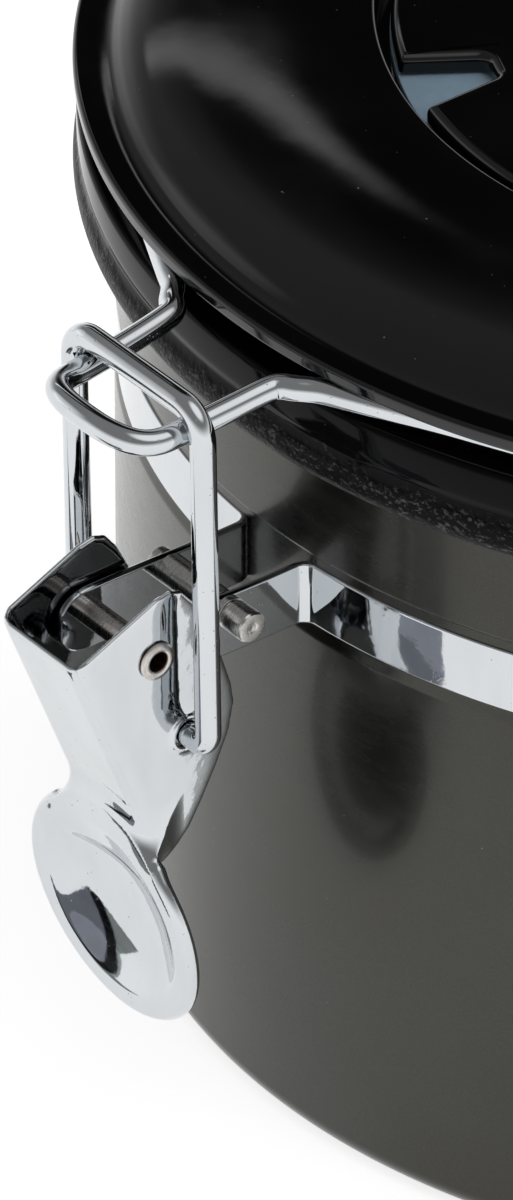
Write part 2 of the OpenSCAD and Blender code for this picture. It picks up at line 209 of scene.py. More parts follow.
def surface(f, lo, hi, size):
    """Mesh of the zero surface of f with its exact normals: (vertices, faces, normals)."""
    lo = np.array(lo, float)
    count = np.ceil((np.array(hi, float) - lo) / size).astype(int) + 1
    grid = np.meshgrid(*[lo[i] + size * np.arange(count[i]) for i in range(3)], indexing="ij")
    d = f(*grid)
    sl = lambda o: tuple(slice(o[i], count[i] - 1 + o[i]) for i in range(3))
    corners = list(itertools.product((0, 1), repeat=3))
    total = sum((d[sl(o)] < 0).astype(int) for o in corners)
    mixed = (total > 0) & (total < 8)
    cells = np.argwhere(mixed)
    index = -np.ones(mixed.shape, int)
    index[mixed] = np.arange(len(cells))
    where, hits = np.zeros((len(cells), 3)), np.zeros(len(cells))
    for a, b in itertools.combinations(corners, 2):
        if sum(abs(a[i] - b[i]) for i in range(3)) != 1:
            continue
        da, db = d[tuple((cells + a).T)], d[tuple((cells + b).T)]
        cut = (da < 0) != (db < 0)
        t = np.where(cut, da / np.where(cut, da - db, 1), 0)
        where += np.where(cut[:, None], np.array(a) + t[:, None] * (np.array(b) - np.array(a)), 0)
        hits += cut
    v = lo + size * (cells + where / hits[:, None])
    faces = []
    for axis in range(3):
        o1, o2 = [i for i in range(3) if i != axis]
        take = lambda k: np.take(d, range(k, count[axis] - 1 + k), axis) < 0
        e = np.argwhere(take(0) != take(1))
        e = e[(e[:, o1] > 0) & (e[:, o2] > 0) & (e[:, o1] < count[o1] - 1) & (e[:, o2] < count[o2] - 1)]
        quad = []
        for u, w in ((0, 0), (-1, 0), (-1, -1), (0, -1)):
            c = e.copy()
            c[:, o1] += u
            c[:, o2] += w
            quad.append(index[tuple(c.T)])
        quad = np.array(quad).T
        inside = d[tuple(e.T)] < 0
        if axis == 1:
            inside = ~inside
        quad[~inside] = quad[~inside][:, ::-1]
        faces.append(quad)
    for _ in range(4):
        g = gradient(f, v)
        size2 = np.maximum((g * g).sum(1), 1e-6)
        move = -(f(*v.T) / size2)[:, None] * g
        long = np.linalg.norm(move, axis=1)[:, None]
        v = v + move * np.minimum(1, 0.4 * size / np.maximum(long, 1e-9))
    g = gradient(f, v)
    g /= np.maximum(np.linalg.norm(g, axis=1), 1e-9)[:, None]
    return v.tolist(), np.concatenate(faces).tolist(), g.tolist()


def piece(name, shape, body, material, replaced, even=True):
    """Object from vertices and faces in millimetres, riding on its body in place of CAD nodes."""
    verts, faces = shape[0], shape[1]
    mesh = bpy.data.meshes.new(name)
    mesh.from_pydata([(x * MM, y * MM, z * MM) for x, y, z in verts], [], faces)
    if len(shape) == 2:
        bm = bmesh.new()
        bm.from_mesh(mesh)
        bmesh.ops.remove_doubles(bm, verts=bm.verts, dist=1e-7)
        bmesh.ops.recalc_face_normals(bm, faces=bm.faces)
        bm.to_mesh(mesh)
        bm.free()
    mesh.polygons.foreach_set("use_smooth", [True] * len(mesh.polygons))
    mesh.update()
    obj = bpy.data.objects.new(name, mesh)
    scene.collection.objects.link(obj)
    if len(shape) == 3:
        mesh.normals_split_custom_set_from_vertices(shape[2])
    elif even:
        mesh.set_sharp_from_angle(angle=math.radians(50))
        obj.modifiers.new("Even", "WEIGHTED_NORMAL").keep_sharp = True
    mesh.materials.append(material)
    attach(obj, body)
    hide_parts(*replaced)
    return obj


# ---------------------------------------------------------------- materials
class Nodes:
    """Small helper that builds a node tree."""

    def __init__(self, tree):
        self.tree = tree

    def new(self, kind, inputs=None, **settings):
        n = self.tree.nodes.new(kind)
        for k, v in settings.items():
            setattr(n, k, v)
        for k, v in (inputs or {}).items():
            if isinstance(v, bpy.types.NodeSocket):
                self.tree.links.new(v, n.inputs[k])
            else:
                n.inputs[k].default_value = v
        return n

    def math(self, op, a, b=0.0, clamp=False):
        return self.new("ShaderNodeMath", {0: a, 1: b}, operation=op, use_clamp=clamp).outputs[0]

    def noise(self, where, scale, detail=3.0, rough=0.5):
        return self.new("ShaderNodeTexNoise", {"Vector": where, "Scale": scale, "Detail": detail,
                                               "Roughness": rough}).outputs["Fac"]

    def between(self, value, low, high, out_low=0.0, out_high=1.0):
        return self.new("ShaderNodeMapRange", {"Value": value, "From Min": low, "From Max": high,
                                               "To Min": out_low, "To Max": out_high},
                        interpolation_type="SMOOTHSTEP").outputs[0]

    def mix(self, factor, a, b):
        n = self.new("ShaderNodeMix", data_type="RGBA")
        for k, v in ((0, factor), (6, a), (7, b)):
            if isinstance(v, bpy.types.NodeSocket):
                self.tree.links.new(v, n.inputs[k])
            else:
                n.inputs[k].default_value = v
        return n.outputs[2]

    def stretched(self, where, x, y, z):
        return self.new("ShaderNodeMapping", {"Vector": where, "Scale": (x, y, z)}).outputs[0]

    def specks(self, where, scale, size, share):
        """Small dots scattered over the surface: 1 inside a dot."""
        cell = self.new("ShaderNodeTexVoronoi", {"Vector": where, "Scale": scale})
        dot = self.between(cell.outputs["Distance"], size, size * 0.5)
        pick = self.new("ShaderNodeSeparateColor", {0: cell.outputs["Color"]}).outputs[0]
        return self.math("MULTIPLY", dot, self.math("LESS_THAN", pick, share))


def rgb(r, g, b):
    return (r, g, b, 1.0)


def start(name, metallic=0.0, specular=0.5, coat=0.0, coat_rough=0.05, sheen=0.0):
    """New material: (material, its node helper, its shader, object coordinates)."""
    m = bpy.data.materials.new(name)
    m.use_nodes = True
    n = Nodes(m.node_tree)
    shader = m.node_tree.nodes["Principled BSDF"]
    shader.inputs["Metallic"].default_value = metallic
    shader.inputs["Specular IOR Level"].default_value = specular
    shader.inputs["Coat Weight"].default_value = coat
    shader.inputs["Coat Roughness"].default_value = coat_rough
    shader.inputs["IOR"].default_value = 1.5
    shader.inputs["Sheen Weight"].default_value = sheen
    where = n.new("ShaderNodeTexCoord").outputs["Object"]
    return m, n, shader, where


def finish(n, shader, colour, rough, heights):
    """Joins colour, roughness and a chain of bumps [(height, distance in metres)] to the shader."""
    link = n.tree.links.new
    link(colour, shader.inputs["Base Color"])
    link(rough, shader.inputs["Roughness"])
    normal = None
    for height, distance in heights:
        b = n.new("ShaderNodeBump", {"Strength": 1.0, "Distance": distance, "Height": height})
        if normal is not None:
            link(normal, b.inputs["Normal"])
        normal = b.outputs[0]
    if normal is not None:
        link(normal, shader.inputs["Normal"])


def chrome(name, tone, wave, pits, inside=None):
    """Bright plating: soft waves of the pressed steel, pin pits, hairline scratches and light smears; where
    the optional mask is 1, painted shade darkens the colour.
    """
    m, n, shader, where = start(name, metallic=1.0)
    dots = n.specks(where, 2100, 0.2, pits)
    smear = n.noise(n.stretched(where, 1, 1, 0.4), 140, 3, 0.6)
    shade = n.mix(n.between(smear, 0.3, 0.75), rgb(*tone), rgb(*[c * 0.93 for c in tone]))
    colour = n.mix(dots, shade, rgb(0.38, 0.38, 0.39))
    if inside:
        # Painted shade: where the mask is 1 the chrome's colour turns dark grey, on the channel's inner
        # faces.
        colour = n.mix(inside(n, where), colour, rgb(0.21, 0.215, 0.22))
    scratch = n.noise(n.stretched(where, 1, 6, 1), 2600, 1, 0.5)
    rough = n.math("ADD", n.between(scratch, 0.55, 0.85, 0.045, 0.13), n.math("MULTIPLY", dots, 0.25))
    finish(n, shader, colour, rough, [(n.noise(where, 120, 2), wave), (n.noise(where, 900, 2), wave * 0.05),
                                      (n.math("MULTIPLY", dots, -1.0), 0.000012)])
    return m


def painted():
    """Dark olive metallic finish: fine flake, slow clouds in tone and gloss, a thin clear layer."""
    m, n, shader, where = start("body_paint", metallic=1.0, coat=0.25, coat_rough=0.1)
    flake = n.noise(where, 5200, 2, 0.7)
    cloud = n.noise(where, 26, 3, 0.55)
    grain = n.noise(n.stretched(where, 1, 1, 3), 320, 3, 0.6)
    base = n.mix(n.between(cloud, 0.3, 0.7), rgb(0.042, 0.041, 0.035), rgb(0.048, 0.048, 0.043))
    colour = n.mix(n.between(flake, 0.4, 0.75, 0.0, 0.4), base, rgb(0.066, 0.065, 0.058))
    rough = n.math("ADD", n.between(grain, 0.3, 0.7, 0.25, 0.28), n.between(cloud, 0.3, 0.7, -0.02, 0.02))
    dust = n.specks(where, 900, 0.09, 0.03)
    colour = n.mix(dust, colour, rgb(0.2, 0.2, 0.19))
    finish(n, shader, colour, rough, [(n.noise(where, 70, 2), 0.00006), (flake, 0.000002), (dust, 0.00001)])
    return m


def gloss_black(name, lip=None, specular=0.5):
    """Moulded gloss plastic: slight waves, finger smears, dust and, below lip (metres), a scuffed edge."""
    m, n, shader, where = start(name, specular=specular)
    smear = n.noise(n.stretched(where, 1, 1.6, 1), 48, 4, 0.62)
    dust = n.specks(where, 620, 0.07, 0.06)
    lint = n.specks(where, 1700, 0.12, 0.03)
    base = n.mix(n.between(smear, 0.35, 0.75), rgb(0.0030, 0.0030, 0.0033), rgb(0.0048, 0.0048, 0.0052))
    colour = n.mix(n.math("MAXIMUM", dust, lint), base, rgb(0.16, 0.16, 0.165))
    rough = n.math("ADD", n.between(smear, 0.35, 0.8, 0.055, 0.12), n.math("MULTIPLY", dust, 0.3))
    heights = [(n.noise(where, 55, 2), 0.00005), (n.noise(where, 420, 2), 0.0000025), (dust, 0.00002)]
    if lip:
        height = n.new("ShaderNodeSeparateXYZ", {0: where}).outputs["Z"]
        low = n.between(n.math("ADD", height, n.between(n.noise(where, 260, 3), 0.3, 0.7, -0.0006, 0.0006)),
                        lip, lip - 0.0012)
        chips = n.between(n.noise(n.stretched(where, 1, 1, 1.6), 1500, 4, 0.7), 0.52, 0.66)
        worn = n.math("MULTIPLY", low, chips)
        colour = n.mix(worn, colour, rgb(0.07, 0.07, 0.072))
        rough = n.math("ADD", rough, n.math("MULTIPLY", low, 0.28), clamp=True)
        heights.append((n.math("MULTIPLY", low, n.noise(where, 1100, 3, 0.7)), 0.00016))
    finish(n, shader, colour, rough, heights)
    return m


def turned(name, tone, axis_y, axis_z, bore=None):
    """Lathe-turned steel about an X axis: fine tool rings, streaky tool marks in tone and gloss and, given a
    bore, a dark rusty bore.
    """
    m, n, shader, where = start(name, metallic=1.0)
    xyz = n.new("ShaderNodeSeparateXYZ", {0: where}).outputs
    dy, dz = n.math("SUBTRACT", xyz["Y"], axis_y), n.math("SUBTRACT", xyz["Z"], axis_z)
    radius = n.math("SQRT", n.math("ADD", n.math("MULTIPLY", dy, dy), n.math("MULTIPLY", dz, dz)))
    rings = n.math("SINE", n.math("MULTIPLY", n.math("ADD", xyz["X"], radius), 42000.0))
    marks = n.noise(n.stretched(where, 14, 1, 1), 900, 3, 0.6)
    base = n.mix(n.between(marks, 0.3, 0.7), rgb(*tone), rgb(*[c * 0.72 for c in tone]))
    rough = n.between(marks, 0.3, 0.75, 0.17, 0.34)
    if bore:
        deep = n.between(radius, bore + 0.00012, bore - 0.00002)
        patches = n.between(n.noise(where, 2200, 3), 0.4, 0.65)
        rust = n.mix(patches, rgb(0.045, 0.016, 0.008), rgb(0.012, 0.006, 0.004))
        base = n.mix(deep, base, rust)
        rough = n.math("ADD", rough, n.math("MULTIPLY", deep, 0.35))
    finish(n, shader, base, rough, [(rings, 0.0000016), (marks, 0.000012)])
    return m


def plain(name, one, two, scale, low, high, grain, metallic=0.0, sheen=0.0, stretch=(1, 1, 1)):
    """Two-tone grain with its own roughness and relief."""
    m, n, shader, where = start(name, metallic=metallic, sheen=sheen)
    where = n.stretched(where, *stretch)
    fine = n.noise(where, scale, 4, 0.6)
    wide = n.noise(where, scale * 0.08, 2)
    mixed = n.math("ADD", n.math("MULTIPLY", fine, 0.6), n.math("MULTIPLY", wide, 0.4))
    colour = n.mix(n.between(mixed, 0.38, 0.62), rgb(*one), rgb(*two))
    finish(n, shader, colour, n.between(fine, 0.3, 0.7, low, high), [(fine, grain), (wide, grain * 4)])
    return m


def channel_painted_shade(n, where):
    """1 where the lever's channel gets painted shade: its inner faces, below a height of 46 to 50 mm."""
    xyz = n.new("ShaderNodeSeparateXYZ", {0: where}).outputs
    inner = (LEVER_HALF - LEVER_T) * MM
    across = n.math("ABSOLUTE", n.math("SUBTRACT", xyz["X"], LEVER_X * MM))
    behind = n.math("ADD", n.math("MULTIPLY", n.math("SUBTRACT", xyz["Y"], WEB_Y * MM), WEB_NORMAL[0]),
                    n.math("MULTIPLY", n.math("SUBTRACT", xyz["Z"], WEB_Z * MM), WEB_NORMAL[1]))
    part = n.math("MULTIPLY", n.between(across, inner + 0.00025, inner),
                  n.between(behind, 0.0004, LEVER_T * MM))
    return n.math("MULTIPLY", part, n.between(xyz["Z"], 0.046, 0.05))


TONE = (0.60, 0.625, 0.645)
LOOKS = {
    "paint": painted(),
    # The sheet's chrome carries painted shade on the inner faces of the lever's channel.
    "sheet": chrome("chrome_sheet", TONE, 0.00012, 0.05, channel_painted_shade),
    "strip": chrome("chrome_strip", TONE, 0.00008, 0.04),
    "wire": chrome("chrome_wire", TONE, 0.00003, 0.16),
    "lid": gloss_black("lid_plastic"),
    "collar": gloss_black("collar_plastic", lip=0.0838, specular=0.06),
    "dial": gloss_black("dial_plastic"),
    "disc": plain("pale_disc", (0.36, 0.52, 0.66), (0.40, 0.56, 0.69), 700, 0.35, 0.5, 0.00001),
    "tin": plain("bare_steel", (0.52, 0.52, 0.52), (0.42, 0.42, 0.43), 900, 0.22, 0.38, 0.000006, 1.0,
                 stretch=(1, 8, 1)),
    "zinc": plain("bracket_zinc", (0.62, 0.64, 0.66), (0.5, 0.52, 0.55), 1100, 0.12, 0.3, 0.000008, 1.0),
    "rubber": plain("gasket_rubber", (0.035, 0.035, 0.036), (0.05, 0.05, 0.051), 1600, 0.5, 0.7, 0.00002),
    "liner": plain("liner_plastic", (0.76, 0.76, 0.74), (0.70, 0.70, 0.68), 1200, 0.3, 0.45, 0.00001),
    "flap": plain("flap_rubber", (0.62, 0.16, 0.06), (0.5, 0.12, 0.045), 1400, 0.45, 0.6, 0.00001),
    "felt": plain("filter_felt", (0.75, 0.72, 0.66), (0.55, 0.52, 0.46), 3600, 0.8, 0.95, 0.00012, sheen=0.4),
}


# ---------------------------------------------------------------- canister
def wall_profile():
    """Rounded foot, wall with a groove for the band, and rolled mouth."""
    foot, inner, groove = BODY_R - FOOT_R, BODY_R - WALL, BODY_R - GROOVE
    p = [(foot - 3, 0.0), *arc(foot, FOOT_R, FOOT_R, -90, 0, 10)]
    p += [(BODY_R, 30), (BODY_R, BAND_Z - 1.4), (BODY_R - 0.06, BAND_Z - 0.9), (groove + 0.06, BAND_Z - 0.4),
          (groove, BAND_Z + 0.1)]
    p += rounded([(groove, BAND_TOP - 0.3), (groove, BAND_TOP + 1), (BODY_R, BAND_TOP + 1.45), (BODY_R, 74)],
                 [0, 0.2, 0.35, 0], closed=False)
    p += arc(BODY_R - 0.6, 83.2, 1.2, -60, 235, 22)
    p += [(inner, 81.0), (inner, BAND_TOP + 1.3), (inner - GROOVE, BAND_TOP + 0.5),
          (inner - GROOVE, BAND_Z - 0.2), (inner, BAND_Z - 1.2), (inner, 30)]
    return p + arc(foot, FOOT_R, FOOT_R - WALL, 0, -90, 8) + [(foot - 3, WALL)]


piece("canister_wall", lathe(wall_profile(), 360), "canister", LOOKS["paint"], ["body_shell"])


def strip_path():
    """Middle line of the band in plan: round the wall, with its two ends bent out as ears."""
    bend_y = -math.sqrt((BAND_R + EAR_BEND) ** 2 - (EAR_X + EAR_BEND) ** 2)
    touch = math.atan2(bend_y, EAR_X + EAR_BEND)
    tip = [RIVET_Y - EAR_HALF * math.sin(math.radians(a)) for a in (88, 84, 78, 70, 60, 48, 36, 24, 12)]
    ear = [(EAR_X, y) for y in (*tip, RIVET_Y, -89, -87, -84, -81, -78, -75, -73)]
    bend = [(EAR_X + EAR_BEND * (1 + math.cos(t)), bend_y + EAR_BEND * math.sin(t))
            for t in np.linspace(math.pi, touch + math.pi, 14)]
    turn = [(BAND_R * math.cos(t), BAND_R * math.sin(t)) for t in np.linspace(touch, math.pi - touch, 300)]
    return ear + bend + turn[1:-1] + [(-x, y) for x, y in reversed(ear + bend)]


def strip(path, edge=0.28):
    """Flat strip along a path in plan, with rounded edges and round ends to its ears."""
    p = np.array(path, float)
    t = np.gradient(p, axis=0)
    t /= np.linalg.norm(t, axis=1)[:, None]
    band_half, band_middle = (BAND_TOP - BAND_Z) / 2, (BAND_TOP + BAND_Z) / 2
    verts, faces = [], []
    for (x, y), (tx, ty) in zip(p, t):
        tip = max(0.0, RIVET_Y - y)
        full = float(step01(np.array(-y), 74, 88))
        half = math.sqrt(max(0.02, EAR_HALF ** 2 - tip ** 2)) if tip > 0 else band_half + 0.05 * full
        side = BAND_T / 2
        corners = [(-side, -half), (side, -half), (side, half), (-side, half)]
        section = rounded(corners, min(edge, half * 0.4), 4)
        count = len(section)
        verts += [(x + ty * u, y - tx * u, band_middle + 0.25 * full + w) for u, w in section]
    for i in range(len(p) - 1):
        for k in range(count):
            m = (k + 1) % count
            faces.append((i * count + k, (i + 1) * count + k, (i + 1) * count + m, i * count + m))
    faces.append(tuple(range(count)))
    faces.append(tuple((len(p) - 1) * count + k for k in reversed(range(count))))
    return verts, faces


piece("clamp_strip", strip(strip_path()), "canister", LOOKS["strip"], ["clamp_band"])


# ---------------------------------------------------------------- pin and rivet, turned about X
def pin_profile():
    """Shouldered pin with a neck in each ear and a chamfered free end."""
    neck, groove = PIN_R - 0.5, PIN_R - 0.22
    p = [(0.02, -5.85), (neck, -5.85), (1.5, -5.6), (1.5, -4.75), (neck, -4.7), (neck, -3.95), (PIN_R, -3.9),
         (PIN_R, 3.9), (neck, 3.95), (neck, 4.7), (PIN_R, 4.75), (PIN_R, 5.5), (groove, 5.55), (groove, 5.85),
         (PIN_R, 5.9), (PIN_R, 8.35), (1.42, 8.6), (0.6, 8.6), (0.45, 8.5), (0.02, 8.5)]
    return rounded(p, 0.06, 3)


def rivet_profile(left=-5.7, right=6.5):
    """Tube between the lever's flanges, rolled over at both ends."""
    p = [(RIVET_BORE, left - 0.5), (1.08, left - 0.52), (1.3, left - 0.5), (1.7, left - 0.42),
         (1.95, left - 0.26), (1.93, left - 0.1), (1.7, left - 0.05), (RIVET_R, left - 0.05)]
    p += [(RIVET_R, left + 0.9), (RIVET_R, -3.9), (RIVET_R, 3.9)]
    p += [(RIVET_R, right - 0.2), (RIVET_R, right + 0.05), (1.7, right + 0.05), (1.93, right + 0.1),
          (1.95, right + 0.26), (1.72, right + 0.44), (1.4, right + 0.5), (1.15, right + 0.46)]
    return p + [(RIVET_BORE, right + 0.3), (RIVET_BORE - 0.02, right - 0.4), (RIVET_BORE - 0.02, left + 0.4)]


pin_steel = turned("turned_steel", (0.60, 0.585, 0.56), PIN_Y * MM, PIN_Z * MM)
rivet_steel = turned("rivet_steel", (0.62, 0.58, 0.55), RIVET_Y * MM, RIVET_Z * MM, (RIVET_BORE + 0.02) * MM)
pin_at, rivet_at = (0, PIN_Y, PIN_Z), (0, RIVET_Y, RIVET_Z)
washer = rounded([(1.36, 4.76), (2.1, 4.76), (2.1, 5.74), (1.36, 5.74)], 0.12, 3)
piece("ear_pin", lathe(pin_profile(), 64, "x", pin_at), "canister", pin_steel, ["cross_pin"])
piece("hollow_rivet", lathe(rivet_profile(), 64, "x", rivet_at), "canister", rivet_steel,
      ["pivot_rivet"])
piece("rivet_spacer", lathe(washer, 64, "x", rivet_at), "canister", rivet_steel,
      ["rivet_washer"])

# ---------------------------------------------------------------- lever
FLANGE = [(-101.0, 65.86), (WEB_Y, WEB_Z), (-98.4, 67.3), (RIVET_Y, 70.9), (-88.4, 71.2), (-87, 70.7),
          (-85.6, 68.9), (-83.7, 65), (-82.2, 61), (-81.2, 57.8), (-80.9, 55.6), (-81.5, 52.6), (-83, 49.2),
          (-84.7, 46), (-86.2, 43.5), (-87.6, 42.1), (-89.4, 41.3), (-91.6, 41)]


def lever_channel(ax, y, z):
    """Leaning web with a rounded corner to each flange; ax is the distance from the middle plane."""
    behind = (y - WEB_Y) * WEB_NORMAL[0] + (z - WEB_Z) * WEB_NORMAL[1] - LEVER_T / 2
    far = 20.0
    qx = ax - (LEVER_HALF - LEVER_T / 2) + LEVER_CORNER
    qy = np.abs(behind - far) - far + LEVER_CORNER
    box = np.minimum(np.maximum(qx, qy), 0) + np.hypot(np.maximum(qx, 0), np.maximum(qy, 0)) - LEVER_CORNER
    return smax(np.abs(box) - LEVER_T / 2, outline_distance(y, z, FLANGE), 0.3)


def lever_disc(x, y, z):
    """Thumb disc with its dish and rolled rim, bent back at its neck to meet the web."""
    (level, tilt), ax = DISC_NORMAL, np.abs(x)
    dy, dz = y - DISC_Y, z - DISC_Z
    up = -tilt * dy + level * dz
    out = -level * dy - tilt * dz
    out = out + 1.3 * step01(up, 5.0, 13.0) * (1 - step01(ax, 4.0, 11.0))
    r = np.hypot(x, up)
    dish = -DISH_DEPTH + (DISH_DEPTH + 0.1) * (r / DISH_R) ** 2.6
    flat_ring = 0.08 - 0.02 * (r - 10.6) ** 2
    face = smin(dish, flat_ring, 0.3)
    sheet = np.abs(out - face + LEVER_T / 2) * 0.95 - LEVER_T / 2
    neck = step01(up, 6.8, 9.4) * (1 - step01(ax, 6.2, 8.2))
    rim = np.hypot(r - DISC_R + 0.25, out + 0.72) - LEVER_T + 1.2 * neck
    return smin(smax(sheet, r - DISC_R, 0.2), rim, 0.25)


def lever(x, y, z):
    """Signed distance to the lever's sheet, with a rolled edge round each of the bail's holes."""
    x = x - LEVER_X
    ax = np.abs(x)
    d = weld(lever_channel(ax, y, z), lever_disc(x, y, z), 4.0)
    bail_hole = np.hypot(y - BAIL_Y, z - BAIL_Z)
    rivet_hole = np.hypot(y - RIVET_Y, z - RIVET_Z)
    d = smin(d, np.hypot(bail_hole - 1.72, ax - LEVER_HALF) - 0.3, 0.2)
    on_flange = ax > 4
    d = smax(d, np.where(on_flange, WIRE_R + 0.11 - bail_hole, -5.0), 0.1)
    return smax(d, np.where(on_flange, RIVET_R + 0.08 - rivet_hole, -5.0), 0.08)


grid = 0.26
handle = surface(lever, (-12.6, -101.6, 20.0), (13.4, -80.2, 72.0), grid)
piece("latch_handle", handle, "lever", LOOKS["sheet"], ["latch_lever"])


# ---------------------------------------------------------------- bail
def bail_path():
    """Rectangle of wire: both ends turned into the flanges, a crossbar at the top."""
    lean = math.atan((BAIL_TOP_Y - BAIL_Y) / (BAIL_TOP_Z - BAIL_Z))
    height = (BAIL_TOP_Z - BAIL_Z) / math.cos(lean)
    corners = [(4.1, 0), (BAIL_HALF, 0), (BAIL_HALF, height), (0, height)]
    side = rounded(corners, [0, 1.8, 3.0, 0], 14, closed=False)
    flat = side + [(-x, h) for x, h in reversed(side[:-1])]
    dense = []
    for (x0, h0), (x1, h1) in zip(flat, flat[1:]):
        parts = max(1, int(math.hypot(x1 - x0, h1 - h0) / 1.5))
        dense += [(x0 + (x1 - x0) * k / parts, h0 + (h1 - h0) * k / parts) for k in range(parts)]
    dense.append(flat[-1])
    return [(x, BAIL_Y + h * math.sin(lean), BAIL_Z + h * math.cos(lean)) for x, h in dense]


piece("wire_bail", sweep(bail_path(), WIRE_R, 32), "bail", LOOKS["wire"], ["latch_bail"],
      even=False)


# ---------------------------------------------------------------- lid
def ring_path():
    """Wire ring: hinge stubs behind, half a turn in the groove on each side, and the nose in front."""
    def at(angle, radius=RING_R):
        return (radius * math.sin(math.radians(angle)), -radius * math.cos(math.radians(angle)), RING_Z)

    half = [(6.4, 78.6, 63), (7.6, 78.6, 63)]
    half += [(8.6 + 1.8 * math.sin(a), 78.6, 64.8 - 1.8 * math.cos(a))
             for a in np.linspace(0, math.pi / 2, 7)]
    half += [(10.4, 78.6, z) for z in (68, 72, 76, 80, 84)]
    half += [(10.4, 75.6 + 3 * math.cos(a), 87.2 + 3 * math.sin(a)) for a in np.linspace(0, math.pi / 2, 8)]
    half += [(12.4 - 2 * math.cos(math.radians(a)), 73.1 - 2 * math.sin(math.radians(a)), RING_Z)
             for a in (18, 42, 66)]
    half += [at(a) for a in range(168, 24, -4)]
    half += [at(22, 72.05), at(18, 72.4), at(15, 73.0), at(12.5, 73.7), at(10.2, 74.5), at(8.4, 75.3)]
    half += [(9.3, -76.0, RING_Z), (8.1, -76.9, 90.15), (7.6, -78.2, 90)]
    half += [(7.25, -82.5, 89.45), (6.95, -88, 88.9), (6.8, -90, 88.85), (6.2, -91.5, 89), (5, -92.5, 89.2),
             (3.2, -93.1, 89.35), (1.2, -93.3, 89.4)]
    return spline(half + [(-x, y, z) for x, y, z in reversed(half)], 4)


piece("lid_wire", sweep(ring_path(), WIRE_R, 32), "lid", LOOKS["wire"], ["lid_ring"],
      even=False)


def cover_profile():
    """Lid's shell: recess for the dial, low crown, shoulder, shelf, rim and groove for the ring."""
    crown = spline([(47.5, 97.64), (49.5, 97.74), (52, 97.8), (55, 97.72), (58, 97.5), (61, 97.15),
                    (64, 96.66), (66, 96.2), (68, 95.6), (69.4, 95), (70.4, 94.35), (71.05, 93.8),
                    (71.5, 93.45), (72, 93.24), (72.6, 93.12), (73.4, 93.1)], 5)
    recess = rounded([(44, 94.0), (46.5, 94.0), (46.5, 97.55), (47.5, 97.64)], [0, 0.25, 0.4, 0], 7,
                     closed=False)
    rim = arc(74.7, 92.6, 0.5, 88, 4, 8) + arc(74.75, 91.95, 0.45, -4, -88, 8) + [(73.6, 91.5)]
    below = rounded([(73, 91.5), (70.6, 91.5), (70.6, 88.4), (67, 88.4), (67, 94), (64, 95), (48.1, 95.6),
                     (48.1, 92.4), (4.0, 92.4)], [0, 0.15, 0.15, 0.2, 0.4, 1.0, 0.4, 0.3, 0], 4, closed=False)
    return [(4.0, 94.0), (30.0, 94.0), *recess[1:-1], *[tuple(q) for q in crown], *rim, *below[1:]]


def skirt_profile():
    """Collar under the lid, flared to a rounded lower lip."""
    outside = spline([(74.9, 87.4), (74.9, 86.2), (74.86, 85), (74.72, 84.3), (74.7, 83.9), (74.85, 83.2),
                      (75.1, 82.6), (75.22, 81.9), (75.2, 81), (74.9, 80.2), (74.4, 79.7), (73.8, 79.6),
                      (72.6, 79.65), (72.05, 80.2)], 4)
    return [(67, 88.4), (74.0, 88.4), *arc(74.2, 87.7, 0.7, 80, 10, 7), *[tuple(q) for q in outside[1:]],
            (72, 82), (72, 86.8), (67, 86.8)]


disc_profile = rounded([(10, 94.02), (45.1, 94.02), (45.1, 94.8), (10, 94.8)], 0.12, 3)
piece("lid_cover", lathe(cover_profile(), 360), "lid", LOOKS["lid"], ["lid_shell"])
piece("lid_skirt", lathe(skirt_profile(), 360), "lid", LOOKS["collar"], ["lid_collar"])
piece("blue_disc", lathe(disc_profile, 192), "lid", LOOKS["disc"], ["number_disc"])


# ---------------------------------------------------------------- dial
def dial_outline():
    """Circle with a slanting window cut into its edge, in steps of about 0.9 mm."""
    middle, mouth = math.radians(WINDOW_AT), math.asin(WINDOW_HALF / DIAL_R)
    inner_r = DIAL_R - WINDOW_DEPTH
    window = [(inner_r * math.cos(middle + math.radians(a)), inner_r * math.sin(middle + math.radians(a)))
              for a in (-3.9, 1.6)]
    edge = [(DIAL_R * math.cos(a), DIAL_R * math.sin(a))
            for a in np.linspace(middle + mouth, middle - mouth + 2 * math.pi, 260)]
    corners = rounded(window + edge, [1.3, 1.0, 1.3] + [0] * (len(edge) - 2) + [0.5], 8)
    out = []
    for p, q in zip(corners, corners[1:] + corners[:1]):
        parts = max(1, int(math.dist(p, q) / 0.9))
        out += [(p[0] + (q[0] - p[0]) * k / parts, p[1] + (q[1] - p[1]) * k / parts) for k in range(parts)]
    return np.array(out)


def dial(outline, edge_r=0.9, top=97.0):
    """Dial from its outline: rounded upper edge, slightly crowned top, raised boss and open middle."""
    along = np.roll(outline, -1, 0) - np.roll(outline, 1, 0)
    inward = np.stack([-along[:, 1], along[:, 0]], 1) / np.linalg.norm(along, axis=1)[:, None]
    low = top - edge_r
    levels = [(0.3, 95.0), (0.09, 95.09), (0, 95.3), (0, low)]
    levels += [(edge_r * (1 - math.cos(a)), low + edge_r * math.sin(a))
               for a in np.linspace(0.2, math.pi / 2, 8)]
    verts = [(x, y, z) for inset, z in levels for x, y in outline + inward * inset]
    inset_edge = outline + inward * edge_r
    for k in (0.93, 0.8, 0.65, 0.4):
        verts += [(x * k, y * k, top + 0.1 * min(1, (DIAL_R - math.hypot(x, y) * k) / 15))
                  for x, y in inset_edge]
    unit = inset_edge / np.linalg.norm(inset_edge, axis=1)[:, None]
    for r, z in ((7.7, top + 0.1), (7.5, top), (7.5, low), (4.06, low), (4.06, 95.0), (30, 95.0)):
        verts += [(x * r, y * r, z) for x, y in unit]
    faces, n = [], len(outline)
    loops = len(verts) // n
    for i in range(loops):
        j = (i + 1) % loops
        for k in range(n):
            m = (k + 1) % n
            faces.append((i * n + k, i * n + m, j * n + m, j * n + k))
    return verts, faces


piece("turning_dial", dial(dial_outline()), "dial", LOOKS["dial"], ["date_dial"])

